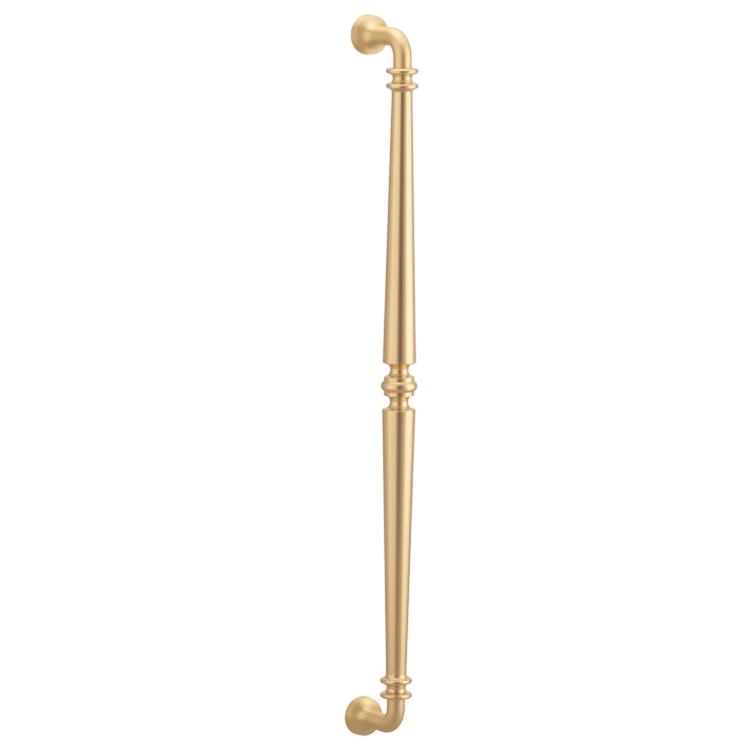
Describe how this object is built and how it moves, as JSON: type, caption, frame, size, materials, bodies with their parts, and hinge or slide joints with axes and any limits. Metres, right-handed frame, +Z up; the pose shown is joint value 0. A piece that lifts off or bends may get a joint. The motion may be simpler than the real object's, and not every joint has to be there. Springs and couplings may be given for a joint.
{
  "type": "door pull handle",
  "caption": "Tall satin brass door pull: a turned tapered bar with collars and a centre knuckle, on elbow posts with round feet.",
  "frame": {"origin": "on the door face, midway between the two fixing holes", "axes": "+Z up along the grip bar, +Y into the door, -Y out towards the hand, +X to the right seen from the front"},
  "size_m": [0.0266, 0.0546, 0.4838],
  "materials": {
    "satin_brass": "satin",
    "stud_steel": "plain"
  },
  "bodies": {
    "root": {"grip_bar": "satin_brass", "upper_post": "satin_brass", "lower_post": "satin_brass", "upper_stud": "stud_steel", "lower_stud": "stud_steel"}
  },
  "joints": []
}
